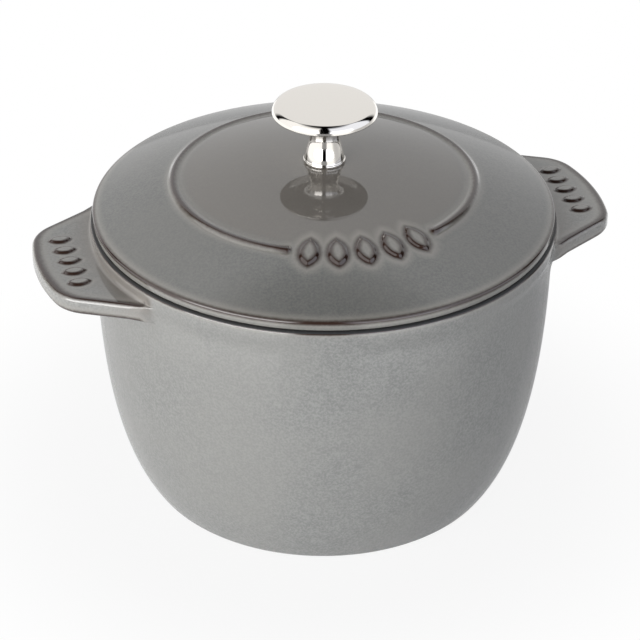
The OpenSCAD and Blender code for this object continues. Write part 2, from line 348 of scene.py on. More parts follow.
def ramp(tree: Tree, value: Socket, low: float, high: float, start: float, end: float) -> Socket:
    """Maps a value's stretch from low to high smoothly onto start to end.

    Args:
        tree: the node tree.
        value: the socket to map.
        low: value that gives start.
        high: value that gives end.
        start: result at low and below.
        end: result at high and above.

    Returns:
        The socket of the result.
    """
    inputs = {"Value": value, "From Min": low, "From Max": high, "To Min": start, "To Max": end}
    node = add_node(tree, "ShaderNodeMapRange", inputs, interpolation_type="SMOOTHSTEP", clamp=True)
    return node.outputs["Result"]


def arith(tree: Tree, operation: str, first: Number, second: Number = 0.5) -> Socket:
    """Adds one sum, product or the like, and returns its socket."""
    return add_node(tree, "ShaderNodeMath", {0: first, 1: second}, operation=operation).outputs[0]


def vector_arith(tree: Tree, operation: str, inputs: dict[str | int, object]) -> bpy.types.Node:
    """Adds one sum, product or the like of vectors, and returns its node."""
    return add_node(tree, "ShaderNodeVectorMath", inputs, operation=operation)


def blend_colour(tree: Tree, factor: Socket, first: Socket | Colour, second: Socket | Colour) -> Socket:
    """Mixes two colours by a factor.

    Args:
        tree: the node tree.
        factor: 0 for the first colour alone, and 1 for the second.
        first: socket or value of the first colour.
        second: socket or value of the second colour.

    Returns:
        The socket of the mixed colour.
    """
    node = add_node(tree, "ShaderNodeMix", data_type="RGBA")
    for key, value in (("Factor_Float", factor), ("A_Color", first), ("B_Color", second)):
        socket = next(s for s in node.inputs if s.identifier == key)
        if isinstance(value, Socket):
            tree.links.new(value, socket)
        else:
            socket.default_value = value
    return next(s for s in node.outputs if s.identifier == "Result_Color")


def bumped(tree: Tree, height: Socket, depth: float) -> Socket:
    """Adds a bump of a depth in millimetres, and returns the socket of its normal."""
    inputs = {"Height": height, "Strength": 1.0, "Distance": depth * MM}
    return add_node(tree, "ShaderNodeBump", inputs).outputs["Normal"]


def attribute(tree: Tree, name: str) -> Socket:
    """Socket of one of the numbers that a surface carries at its points."""
    return add_node(tree, "ShaderNodeAttribute", attribute_name=name).outputs["Fac"]


def plainly_seen(tree: Tree) -> Socket:
    """Socket that is 1 for the camera's rays and for those through glass, and 0 for others."""
    path = add_node(tree, "ShaderNodeLightPath")
    return arith(tree, "MAXIMUM", path.outputs["Is Camera Ray"], path.outputs["Is Transmission Ray"])


def mirrored_only(tree: Tree) -> Socket:
    """Socket that is 1 for the rays of reflections, and 0 for others."""
    return add_node(tree, "ShaderNodeLightPath").outputs["Is Glossy Ray"]


@dataclass(frozen=True)
class GlazedEnamel:
    """Graphite-grey glass enamel, sprayed and fired over a dark ground coat on cast iron.

    The glaze is translucent and drains off convex edges, so they show the brown ground coat with
    a pale band beside it. It turns a warmer, darker grey where the surface's tint is set: at a
    handle's root that is glaze pooled in the fillet together with painted shade. Being glass, it
    mirrors the room sharply but weakly, and fine specks in it keep the grey from looking flat.
    """

    name: str = "glazed graphite enamel on the pot"
    body: str = "a1a19e"
    speck: str = "8a8b89"
    cloud: str = "a09f9b"
    thin: str = "3a2a24"
    halo: str = "aba69e"
    # Darker, warmer grey of the tint: at a handle's root, pooled glaze with painted shade.
    warm_tint: str = "867f78"
    roughness: float = 0.05
    index: float = 1.7
    line_core: float = 0.25
    line_end: float = 2.0
    halo_end: float = 4.5
    halo_share: float = 0.55
    mark_shoulder: float = 0.35
    mark_drain: float = 1.5
    warm_tint_share: float = 0.7
    speck_grain: float = 0.85
    speck_share: float = 0.75
    speck_step: tuple[float, float] = (0.38, 0.62)
    mottle_grain: float = 3.5
    mottle_step: tuple[float, float] = (0.35, 0.65)
    cloud_grain: float = 38.0
    cloud_share: float = 0.5
    cloud_step: tuple[float, float] = (0.3, 0.7)
    drift_grain: float = 1.6
    drift: float = 0.5
    peel_grain: float = 6.0
    peel_depth: float = 0.006

    def full_coat(self, tree: Tree) -> Socket:
        """Colour where the coat is full: specks and coarser mottle in the body, then clouds.

        Args:
            tree: the material's node tree.

        Returns:
            The socket of the colour.
        """
        specks = ramp(tree, noise(tree, self.speck_grain, 3.0, 0.7), *self.speck_step, 0.0, 1.0)
        mottle = ramp(tree, noise(tree, self.mottle_grain, 3.0, 0.6), *self.mottle_step, 0.0, 1.0)
        fine = arith(tree, "MULTIPLY", specks, self.speck_share)
        coarse = arith(tree, "MULTIPLY", mottle, 1 - self.speck_share)
        grain = arith(tree, "ADD", fine, coarse)
        colour = blend_colour(tree, grain, linear(self.speck), linear(self.body))
        clouds = ramp(tree, noise(tree, self.cloud_grain, 1.0), *self.cloud_step, 0.0, self.cloud_share)
        return blend_colour(tree, clouds, colour, linear(self.cloud))

    def from_thinnest(self, tree: Tree) -> Socket:
        """Distance in millimetres from the nearest edge, or shoulder of a mark, that is thin.

        Noise shifts it a little to and fro, so that the brown lines are uneven.

        Args:
            tree: the material's node tree.

        Returns:
            The socket of the distance.
        """
        wander = arith(tree, "SUBTRACT", noise(tree, self.drift_grain, 2.0), 0.5)
        shift = arith(tree, "MULTIPLY", wander, self.drift)
        from_edge = arith(tree, "ADD", attribute(tree, "edge_mm"), shift)
        past = arith(tree, "SUBTRACT", attribute(tree, "mark_mm"), self.mark_shoulder)
        from_shoulder = arith(tree, "MULTIPLY", arith(tree, "ABSOLUTE", past), self.mark_drain)
        return arith(tree, "MINIMUM", from_edge, arith(tree, "ADD", from_shoulder, shift))

    def material(self) -> bpy.types.Material:
        """Builds the material.

        Returns:
            The enamel, which reads edge_mm, mark_mm and pool from the surface.
        """
        material, tree = new_material(self.name)
        # Tint: pooled glaze plus painted shade at the handles' roots, and a warmer disc on the lid.
        tinted = arith(tree, "MULTIPLY", attribute(tree, "warm_tint"), self.warm_tint_share)
        nearest = self.from_thinnest(tree)
        pale = ramp(tree, nearest, self.line_end / 2, self.halo_end, self.halo_share, 0.0)
        brown = ramp(tree, nearest, self.line_core, self.line_end, 1.0, 0.0)
        colour = blend_colour(tree, tinted, self.full_coat(tree), linear(self.warm_tint))
        colour = blend_colour(tree, pale, colour, linear(self.halo))
        colour = blend_colour(tree, brown, colour, linear(self.thin))
        inputs = {
            "Base Color": colour,
            "Roughness": self.roughness,
            "IOR": self.index,
            "Normal": bumped(tree, noise(tree, self.peel_grain, 2.0, 0.4), self.peel_depth),
        }
        close_material(tree, add_node(tree, "ShaderNodeBsdfPrincipled", inputs).outputs["BSDF"])
        return material


@dataclass(frozen=True)
class ShadedLidEnamel(GlazedEnamel):
    """The same glaze on the lid, with narrower lines on the marks. Its greys are darker than the pot's as
    painted shade, for a top that faces away from the lamps.
    """

    name: str = "glazed graphite enamel on the lid"
    # Darker greys than the pot's, down to the tint: painted shade of the lid's upward-facing top.
    body: str = "7f7f7b"
    speck: str = "6f706e"
    cloud: str = "807f7b"
    halo: str = "a9a59d"
    warm_tint: str = "7c766f"
    mark_drain: float = 0.8


@dataclass(frozen=True)
class MatteEnamel:
    """Black semi-matte enamel, fired as a thin ground coat on cast iron.

    It is rough to the touch, so it shows a fine pebbled texture and no clear reflections.
    """

    name: str = "matte black enamel"
    body: str = "1b1b1c"
    fleck: str = "2b2a29"
    roughness: float = 0.58
    index: float = 1.5
    pebble: float = 0.8
    pebble_depth: float = 0.03

    def material(self) -> bpy.types.Material:
        """Builds the material.

        Returns:
            The enamel, whose pebbles are paler and rougher at their tops.
        """
        material, tree = new_material(self.name)
        height = noise(tree, self.pebble, 3.0, 0.6)
        flecks = ramp(tree, height, 0.5, 0.7, 0.0, 1.0)
        inputs = {
            "Base Color": blend_colour(tree, flecks, linear(self.body), linear(self.fleck)),
            "Roughness": ramp(tree, height, 0.3, 0.7, self.roughness - 0.08, self.roughness + 0.06),
            "IOR": self.index,
            "Normal": bumped(tree, height, self.pebble_depth),
        }
        close_material(tree, add_node(tree, "ShaderNodeBsdfPrincipled", inputs).outputs["BSDF"])
        return material


@dataclass(frozen=True)
class PolishedSteel:
    """Stainless steel, turned and then buffed to a mirror.

    The buffing leaves faint haze and almost no lines, so it mirrors the room sharply.
    """

    name: str = "polished stainless steel"
    body: str = "e4e0da"
    roughness: float = 0.05
    haze: float = 0.03
    haze_grain: float = 5.0

    def material(self) -> bpy.types.Material:
        """Builds the material.

        Returns:
            The steel, a little hazier in patches.
        """
        material, tree = new_material(self.name)
        patches = noise(tree, self.haze_grain, 3.0)
        rough = ramp(tree, patches, 0.3, 0.7, self.roughness, self.roughness + self.haze)
        inputs = {"Base Color": linear(self.body), "Metallic": 1.0, "Roughness": rough}
        close_material(tree, add_node(tree, "ShaderNodeBsdfPrincipled", inputs).outputs["BSDF"])
        return material


@dataclass(frozen=True)
class PlatedSteel:
    """Steel fastener with bright zinc plating, tumbled in a barrel.

    The plating is bluish and slightly cloudy, with a soft shine.
    """

    name: str = "zinc-plated steel"
    body: str = "b9bcc2"
    cloudy: str = "9fa2a8"
    roughness: float = 0.32
    cloud_grain: float = 1.8

    def material(self) -> bpy.types.Material:
        """Builds the material.

        Returns:
            The plating, duller where it is cloudy.
        """
        material, tree = new_material(self.name)
        cloud = noise(tree, self.cloud_grain, 3.0)
        dull = ramp(tree, cloud, 0.35, 0.65, 0.0, 1.0)
        inputs = {
            "Base Color": blend_colour(tree, dull, linear(self.body), linear(self.cloudy)),
            "Metallic": 1.0,
            "Roughness": ramp(tree, cloud, 0.3, 0.7, self.roughness - 0.05, self.roughness + 0.08),
        }
        close_material(tree, add_node(tree, "ShaderNodeBsdfPrincipled", inputs).outputs["BSDF"])
        return material


@dataclass(frozen=True)
class Relief:
    """Shape of the raised marks: a row of long pointed ovals with soft shoulders."""

    count: int = 5
    height: float = 0.8
    shoulder: float = 1.3
    foot: float = 0.35

    def rise(self, inside: np.ndarray) -> np.ndarray:
        """Height above the casting: it eases up over the shoulder as the point moves inside."""
        return self.height * smooth((inside + self.foot) / self.shoulder)


@dataclass
class PotCasting:
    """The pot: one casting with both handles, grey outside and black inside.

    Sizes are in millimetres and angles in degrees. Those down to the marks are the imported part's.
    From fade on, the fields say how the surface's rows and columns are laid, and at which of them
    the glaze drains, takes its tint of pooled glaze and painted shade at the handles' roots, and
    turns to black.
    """

    height: float = 106.8
    rim_r: float = 83.4
    rim_w: float = 6.0
    rim_edge: float = 1.6
    rim_inner_edge: float = 1.0
    belly_r: float = 82.0
    belly_drop: float = 11.6
    wall: float = 3.9
    floor: float = 4.6
    base_r: float = 60.2
    foot_corner: float = 6.3
    floor_corner: float = 11.0
    foot_lean: float = 34.0
    belly_fullness: float = 0.31
    foot_fullness: float = 0.86
    reach: float = 104.85
    handle_drop: float = 5.35
    handle_t: float = 6.25
    tip_w: float = 47.5
    tip_arc: float = 75.0
    root_angle: float = 30.2
    root_bite: float = 0.6
    corner: float = 14.0
    flare: float = 10.0
    edge: float = 1.9
    under_fillet: float = 7.5
    top_fillet: float = 1.6
    mark_l: float = 8.2
    mark_w: float = 5.0
    mark_pitch: float = 7.7
    fade: float = 1.5
    bury: float = 0.25
    marks_a: float = 13.2
    mark_step: float = 0.28
    join_step: float = 0.45
    side_step: float = 0.6
    plain_columns: int = 38
    drain: float = 0.6
    pool_and_shade_w: float = 7.0
    ease: float = 0.3
    bow_rows: int = 8
    out_rows: int = 6
    turn_rows: int = 8
    side_rows: int = 3
    back_rows: int = 46
    lower_line_row: int = 4
    upper_line_row: int = 6
    black_step: int = 3
    clear: float = 0.8
    foot_z: float = 3.5
    foot_rows: int = 9
    wall_rows: int = 34
    neck_rows: int = 4
    pool_and_shade_row: int = 3
    line_away: float = 6.0
    rim_drain: float = 0.4
    relief: Relief = field(default_factory=Relief)

    def __post_init__(self) -> None:
        """Works out the heights and the plan of a handle from the driving sizes."""
        self.belly_z = self.height - self.belly_drop
        self.top_z = self.height - self.handle_drop
        self.under_z = self.top_z - self.handle_t
        self.shoulder_z = self.height - self.rim_edge
        self.rim_in_r = self.rim_r - self.rim_w
        self.outer = self.outer_line()
        self.run_out_r = float(self.wall_r(np.array(self.top_z))) - self.bury
        self.mark_r = (self.belly_r - self.root_bite + self.reach) / 2
        self.plan()

    def wall_line(self, wide_r: float, flat_r: float, flat_z: float, corner: float) -> np.ndarray:
        """Line of the wall from the flat up to its widest place.

        A corner arc leaves the flat, and a cubic runs from its lean to the upright.

        Args:
            wide_r: radius where the wall is upright.
            flat_r: radius of the flat.
            flat_z: height of the flat.
            corner: radius of the corner.

        Returns:
            Points from the flat's edge to the widest place.
        """
        lean = math.radians(self.foot_lean)
        tangent = (flat_r + corner * math.cos(lean), flat_z + corner * (1 - math.sin(lean)))
        run = self.foot_fullness * (wide_r - tangent[0])
        rise = self.belly_fullness * (self.belly_z - tangent[1])
        curve = cubic(
            [tangent, (tangent[0] + run, tangent[1] + run / math.tan(lean)),
             (wide_r, self.belly_z - rise), (wide_r, self.belly_z)],
            200,
        )
        return joined(arc((flat_r, flat_z + corner), corner, -90, -self.foot_lean, 40), curve)

    def inner_floor_r(self) -> float:
        """Radius of the flat floor, whose corner touches a line parallel to the outer lean.

        Returns:
            The radius at which that line is one wall's thickness inside the outer one.
        """
        lean = math.radians(self.foot_lean)
        cos, sin = math.cos(lean), math.sin(lean)
        outer = (self.base_r + self.foot_corner * cos) * cos - self.foot_corner * (1 - sin) * sin
        return (outer - self.wall - self.floor_corner + (self.floor + self.floor_corner) * sin) / cos

    @staticmethod
    def bend(low: tuple[float, float], high: tuple[float, float], count: int) -> np.ndarray:
        """Easy double bend between two upright stretches, from the lower to the upper point."""
        half = (high[1] - low[1]) / 2
        return cubic([low, (low[0], low[1] + half), (high[0], high[1] - half), high], count)

    def outer_line(self) -> np.ndarray:
        """Outside of the wall from the base's edge up to the rim's shoulder."""
        wall = self.wall_line(self.belly_r, self.base_r, 0.0, self.foot_corner)
        return joined(wall, self.bend((self.belly_r, self.belly_z), (self.rim_r, self.shoulder_z), 60))

    def wall_r(self, z: np.ndarray) -> np.ndarray:
        """Radius of the wall's outside at a height."""
        return np.interp(z, self.outer[:, 1], self.outer[:, 0])

    def plan(self) -> None:
        """Outline of a handle from above: tip arc, corner circle, straight side and flare."""
        flush = self.belly_r - self.root_bite
        root = math.radians(self.root_angle)
        self.tip_c = np.array([self.reach - self.tip_arc, 0.0])
        tip = self.tip_c + [math.sqrt(self.tip_arc**2 - (self.tip_w / 2) ** 2), self.tip_w / 2]
        side = tip - flush * np.array([math.cos(root), math.sin(root)])
        along = side / np.linalg.norm(side)
        self.side_out = np.array([-along[1], along[0]])
        self.side_offset = float(tip @ self.side_out)
        across = self.side_offset - self.corner - float(self.tip_c @ self.side_out)
        reach = math.sqrt((self.tip_arc - self.corner) ** 2 - across**2)
        self.corner_c = self.tip_c + across * self.side_out + reach * along
        out = self.side_offset + self.flare
        self.flare_c = out * self.side_out + math.sqrt((self.run_out_r + self.flare) ** 2 - out**2) * along
        to_corner = self.corner_c - self.tip_c
        tip_end = self.tip_c + self.tip_arc * to_corner / np.linalg.norm(to_corner)
        side_start = self.corner_c + self.corner * self.side_out
        side_end = self.flare_c - self.flare * self.side_out
        ends = (tip_end, side_start, side_end, self.flare_c)
        turns = [math.degrees(math.atan2(p[1], p[0])) for p in ends]
        self.tip_a, self.corner_a, self.side_a, self.flare_a = turns

    def stand(self, azimuth: np.ndarray) -> np.ndarray:
        """How far a handle's outline stands out of the wall at each azimuth.

        Along a ray from the axis, a circle is met at c·d ± √(r² - c·c + (c·d)²), and the straight
        side at its offset over the cosine between the ray and the side's square.

        Args:
            azimuth: angles round the pot, in degrees.

        Returns:
            The stand in millimetres, 0 beyond the flare.
        """
        a = np.abs((azimuth + 90) % 180 - 90)
        ray = np.stack([np.cos(np.radians(a)), np.sin(np.radians(a))], axis=-1)

        def meets(centre: np.ndarray, radius: float, sign: float) -> np.ndarray:
            """Distance at which the rays meet a circle, on its far (+) or near (-) side."""
            c = ray @ centre
            return c + sign * np.sqrt(np.maximum(0, radius**2 - centre @ centre + c**2))

        picks = [
            meets(self.tip_c, self.tip_arc, 1.0),
            meets(self.corner_c, self.corner, 1.0),
            self.side_offset / (ray @ self.side_out),
            meets(self.flare_c, self.flare, -1.0),
        ]
        where = [a < self.tip_a, a < self.corner_a, a < self.side_a, a < self.flare_a]
        return np.maximum(0, np.select(where, picks, self.run_out_r) - self.run_out_r)

    def columns(self) -> np.ndarray:
        """Azimuths of the columns: close together over the marks, wider over the sides and beyond.

        Returns:
            The angles round the pot, in degrees.
        """
        marks = np.arange(0, self.marks_a, self.mark_step)
        sides = np.arange(marks[-1] + self.join_step, self.flare_a + 1, self.side_step)
        beyond = np.linspace(sides[-1] + 2 * self.side_step, 90, self.plain_columns)
        quarter = np.concatenate([marks, sides, beyond])
        half = np.concatenate([-quarter[:0:-1], quarter[:-1]])
        return np.concatenate([half, half + 180])

    def detour(self, azimuth: np.ndarray) -> tuple[np.ndarray, np.ndarray, np.ndarray]:
        """Sections of the wall where it runs out round a handle, from below it to above it.

        Each row has a share f of the handle's stand S and a height z. A fillet rises under it, the
        underside runs out to the lower edge, the side goes up, and the top comes back to the upper
        fillet. The radius is the wall's plus f times S. Where S runs out to nothing the rows ease
        into a plain stretch of wall, a small step of height apart.

        Args:
            azimuth: the columns' angles, in degrees.

        Returns:
            Radius, height, and how far inside a raised mark each point lies.
        """
        stand = self.stand(azimuth)[None, :]
        safe = np.maximum(stand, 1e-6)
        under = np.minimum(self.under_fillet / safe, 1 / 2)
        top = np.minimum(self.top_fillet / safe, 1 / 4)
        edge = np.minimum(self.edge, stand / 3)
        inner = 1 - np.minimum(self.edge / safe, 1 / 3)

        def steps(count: int) -> np.ndarray:
            """A column of shares from just above 0 to 1."""
            return (np.arange(1, count + 1) / count)[:, None]

        low, high = self.under_z, self.top_z
        foot, above = low - self.under_fillet, high + self.top_fillet
        flat = np.zeros_like(stand)
        bow, out, turn = steps(self.bow_rows), steps(self.out_rows), steps(self.turn_rows)
        up, back = steps(self.side_rows), steps(self.back_rows)
        sine, cosine = np.sin(turn * np.pi / 2), np.cos(turn * np.pi / 2)
        bow_sine, bow_cosine = np.sin(bow * np.pi / 2), np.cos(bow * np.pi / 2)
        shares = [
            flat,
            under * (1 - bow_cosine),
            under + (inner - under) * out,
            inner + (1 - inner) * sine,
            1 + flat * up,
            inner + (1 - inner) * cosine,
            inner + (top - inner) * back,
            top * (1 - sine),
        ]
        heights = [
            foot + flat,
            foot + self.under_fillet * bow_sine + flat,
            low + flat * out,
            low + edge * (1 - cosine),
            low + edge + (self.handle_t - 2 * edge) * up,
            high - edge * (1 - sine),
            high + flat * back,
            high + self.top_fillet * (1 - cosine) + flat,
        ]
        knots = [foot, low - self.ease, low, low + self.edge,
                 high - self.edge, high - self.ease, high + self.ease, above]
        counts = [bow, out, turn, up, turn, back, turn]
        plain = [foot + flat] + [
            start + (end - start) * t + flat for start, end, t in zip(knots, knots[1:], counts)
        ]
        share, z, even = np.concatenate(shares), np.concatenate(heights), np.concatenate(plain)
        z = even + (z - even) * smooth(stand / self.fade)
        wall = self.wall_r(z)
        settle = (self.run_out_r - wall) * smooth(stand / (2 * self.fade))
        radius = wall + share * (stand + settle)

        local = np.radians((azimuth + 90) % 180 - 90)[None, :]
        first = -(self.relief.count - 1) / 2 * self.mark_pitch
        inside = np.full_like(radius, NO_MARK)
        for i in range(self.relief.count):
            across = radius * np.sin(local) - first - i * self.mark_pitch
            along = radius * np.cos(local) - self.mark_r
            inside = np.maximum(inside, pointed_oval(across, along, self.mark_w, self.mark_l))
        on_top = (z > self.top_z - 1e-6) & (share > top - 1e-6)
        inside = np.where(on_top, inside, NO_MARK)
        return radius, z + self.relief.rise(inside), inside

    def lower_line(self) -> np.ndarray:
        """Base and wall up to the rows that run round a handle.

        Returns:
            Points from the middle of the base, closest together round the foot.
        """
        below = self.outer[self.outer[:, 1] < self.under_z - self.under_fillet - self.clear]
        base = np.stack([np.linspace(0, self.base_r, 8)[:-1], np.zeros(7)], axis=1)
        foot, wall = below[below[:, 1] < self.foot_z], below[below[:, 1] >= self.foot_z]
        return joined(base, spread(foot, self.foot_rows), spread(wall, self.wall_rows))

    def upper_line(self) -> np.ndarray:
        """Neck, rim, inside wall and floor, above the rows that run round a handle.

        Returns:
            Points from the neck to the middle of the floor.
        """
        neck_z = np.linspace(self.top_z + self.top_fillet, self.shoulder_z, self.neck_rows + 1)[1:]
        inner_shoulder = self.height - self.rim_inner_edge
        flat_out, flat_in = self.rim_r - self.rim_edge, self.rim_in_r + self.rim_inner_edge
        inner_r, floor_r = self.belly_r - self.wall, self.inner_floor_r()
        inner = self.wall_line(inner_r, floor_r, self.floor, self.floor_corner)
        return joined(
            np.stack([self.wall_r(neck_z), neck_z], axis=1),
            arc((flat_out, self.shoulder_z), self.rim_edge, 0, 90, 9),
            spread(np.array([[flat_out, self.height], [flat_in, self.height]]), 5),
            arc((flat_in, inner_shoulder), self.rim_inner_edge, 90, 180, 7),
            self.bend((inner_r, self.belly_z), (self.rim_in_r, inner_shoulder), 7)[::-1],
            spread(inner, self.wall_rows)[::-1],
            np.stack([np.linspace(floor_r, 0, 8), np.full(8, self.floor)], axis=1),
        )

    def from_lines(self, run: np.ndarray, stand: np.ndarray, before: int, black_row: int) -> np.ndarray:
        """Distance of each point from the lines where the glaze drains: handle edges and rim.

        Past a line the distance counts times the line's drain, and short of it over that, so a
        small drain widens the brown inwards. A handle's lines move away where it runs out.

        Args:
            run: length along each column of the surface.
            stand: how far a handle stands out at each column.
            before: first row that runs round a handle.
            black_row: first row of the black enamel, on the rim.

        Returns:
            Distances in millimetres, rows by columns.
        """
        moved = self.line_away * (1 - smooth(stand / (2 * self.fade)))
        lower_turn = before + self.bow_rows + self.out_rows
        upper_turn = lower_turn + self.turn_rows + self.side_rows
        lines = [
            (lower_turn + self.lower_line_row, moved, 1.0),
            (upper_turn + self.upper_line_row, moved, self.drain),
            (black_row, 0.0, self.rim_drain),
        ]
        away = [(run - run[row], extra, drain) for row, extra, drain in lines]
        return np.min([np.maximum(-gap / drain, gap * drain) + extra for gap, extra, drain in away], axis=0)

    def build(self) -> bpy.types.Object:
        """Makes the pot's one surface, from the middle of the base to the middle of the floor.

        Returns:
            The pot, with the distances that its glaze needs at each point.
        """
        azimuth = self.columns()
        stand = self.stand(azimuth)
        flat = np.zeros((1, len(azimuth)))
        start, end = self.lower_line(), self.upper_line()
        radius, z, inside = self.detour(azimuth)
        rows_r = np.concatenate([start[:, :1] + flat, radius, end[:, :1] + flat])
        rows_z = np.concatenate([start[:, 1:] + flat, z, end[:, 1:] + flat])
        before, after = len(start), len(start) + len(radius)
        black_row = after + self.neck_rows - 1 + self.black_step
        run = run_lengths(rows_r, rows_z)
        # Tint round each handle's top fillet: pooled glaze, and painted shade where the handle meets the
        # wall.
        from_fillet = run - run[after - self.pool_and_shade_row]
        mark_mm = np.full_like(rows_r, NO_MARK)
        mark_mm[before:after] = inside
        values = {
            "edge_mm": self.from_lines(run, stand, before, black_row),
            "mark_mm": mark_mm,
            "warm_tint": np.exp(-((from_fillet / self.pool_and_shade_w) ** 2)) * smooth(stand / self.fade),
        }
        finish = (np.arange(len(rows_r)) >= black_row).astype(int)
        made = surface("pot_casting", turned(rows_r, rows_z, azimuth), Ends.POLES, values, finish)
        log.info("pot: %d rows, %d columns", *rows_r.shape)
        return made

    def dress(
        self, made: bpy.types.Object, outside: bpy.types.Material, inside: bpy.types.Material
    ) -> None:
        """Gives the pot its enamels and its place in the frame.

        Args:
            made: the pot.
            outside: enamel of the outside up to the rim.
            inside: enamel of the rim's top and the inside.
        """
        made.data.materials.append(outside)
        made.data.materials.append(inside)
        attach(made, "root")
        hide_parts("pot")


@dataclass
class LidCasting:
    """The lid: a shallow dome with a raised ring that is open at the front, and pegs below.

    Sizes are in millimetres and angles in degrees. Rows of the edge line, of the seat's line and
    of the first black enamel are counted from the dome's end, where edge_rows go round the edge,
    side_rows down the side and edge_rows round the lower edge.
    """

    seat_z: float = 106.8
    radius: float = 82.5
    edge_h: float = 3.6
    rise: float = 17.2
    thickness: float = 4.2
    upper_edge: float = 1.0
    lower_edge: float = 0.8
    lip_r: float = 76.6
    lip_w: float = 3.2
    lip_h: float = 4.0
    turn: float = -2.0
    ring_r: float = 53.6
    ring_w: float = 4.8
    ring_h: float = 1.0
    ring_gap: float = 58.0
    mark_l: float = 12.0
    mark_w: float = 6.6
    mark_pitch: float = 10.4
    blob: float = 0.7
    blob_run: float = 2.4
    drain: float = 1.5
    pad_r: float = 8.3
    hole_r: float = 3.4
    boss_r: float = 8.5
    boss_h: float = 0.6
    peg_first_r: float = 22.0
    peg_pitch: float = 19.5
    peg_step: int = 6
    peg_rows: int = 3
    peg_h: float = 2.8
    peg_r: float = 2.2
    peg_skirt: float = 0.4
    peg_sunk: float = 1.0
    peg_turn: int = 20
    gap_margin: float = 4.0
    gap_step: float = 0.36
    plain_columns: int = 197
    pad_steps: tuple[float, float] = (2.0, 0.4)
    band_margin: float = 0.3
    end_w: float = 1.5
    dome_rows: tuple[int, ...] = (26, 37, 18, 5)
    inner_rows: int = 26
    edge_rows: int = 6
    side_rows: int = 3
    edge_line_row: int = 3
    black_row: int = 13
    seat_line_row: int = 15
    disc_fade: float = 6.0
    relief: Relief = field(default_factory=Relief)

    def __post_init__(self) -> None:
        """Works out the dome's circle: it passes its crest and touches the edge's rounding."""
        self.edge_z = self.seat_z + self.edge_h
        drop = self.rise + self.upper_edge
        half = self.radius - self.upper_edge
        self.dome_r = (half**2 + drop**2 - self.upper_edge**2) / (2 * (drop - self.upper_edge))
        self.centre_z = self.edge_z + self.rise - self.dome_r
        self.dome_end_a = math.degrees(math.atan2(self.edge_z - self.upper_edge - self.centre_z, half))

    def dome_z(self, r: np.ndarray | float) -> np.ndarray:
        """Height of the dome's outside: the centre's height plus √(R² - r²)."""
        return self.centre_z + np.sqrt(self.dome_r**2 - np.square(r))

    def inner_z(self, r: np.ndarray | float) -> np.ndarray:
        """Height of the dome's inside, one thickness nearer its centre."""
        return self.centre_z + np.sqrt((self.dome_r - self.thickness) ** 2 - np.square(r))

    def columns(self) -> np.ndarray:
        """Azimuths of the columns on the lid itself, closest together in the ring's opening.

        Returns:
            The angles round the lid, in degrees.
        """
        half = self.ring_gap / 2 + self.gap_margin
        fine = np.arange(-half, half, self.gap_step)
        beyond = np.linspace(half, 360 - half, self.plain_columns + 1)[:-1]
        return np.concatenate([fine, beyond]) - 90

    def relief_at(self, r: np.ndarray, azimuth: np.ndarray) -> tuple[np.ndarray, np.ndarray, np.ndarray]:
        """The ring and the marks on the dome.

        The ring is a cosine bead on its distance from a circle, and in the opening on the
        distance from the circle's nearer end.

        Args:
            r: rows by one, radius on the dome.
            azimuth: the columns' angles on the lid, in degrees.

        Returns:
            Height above the dome, distance from the ring's line, which is wider at its ends, and
            distance inside a mark.
        """
        off = np.abs((azimuth + 90 + 180) % 360 - 180)[None, :]
        past = self.ring_r * np.radians(np.maximum(0, self.ring_gap / 2 - off))
        from_ring = np.hypot(r - self.ring_r, past)
        bead = 0.5 + 0.5 * np.cos(np.pi * np.clip(from_ring / (self.ring_w / 2), 0, 1))
        inside = np.full(from_ring.shape, NO_MARK)
        for i in range(self.relief.count):
            middle = -90 + (i - (self.relief.count - 1) / 2) * self.mark_pitch
            across = self.ring_r * np.radians((azimuth - middle + 180) % 360 - 180)[None, :]
            inside = np.maximum(inside, pointed_oval(across, r - self.ring_r, self.mark_w, self.mark_l))
        to_end = self.ring_r * np.radians(off - self.ring_gap / 2)
        from_line = from_ring - self.blob * np.exp(-((to_end / self.blob_run) ** 2))
        return self.ring_h * bead + self.relief.rise(inside), from_line, inside

    def top_line(self) -> np.ndarray:
        """Outside from the knob's hole to the dome's end.

        Returns:
            Points, closest together on the ring and at the end.
        """
        pad_z = float(self.dome_z(self.pad_r))
        end_r = self.dome_r * math.cos(math.radians(self.dome_end_a))
        band = self.relief.foot + max(self.ring_w, self.mark_l) / 2 + self.band_margin
        stops = [self.pad_r, self.ring_r - band, self.ring_r + band, end_r - self.end_w, end_r]
        runs = [np.linspace(a, b, count) for a, b, count in zip(stops, stops[1:], self.dome_rows)]
        dome = np.concatenate([runs[0]] + [run[1:] for run in runs[1:]])
        pad = [[self.hole_r, pad_z]] + [[self.pad_r - step, pad_z] for step in self.pad_steps]
        return joined(pad, np.stack([dome, self.dome_z(dome)], axis=1))

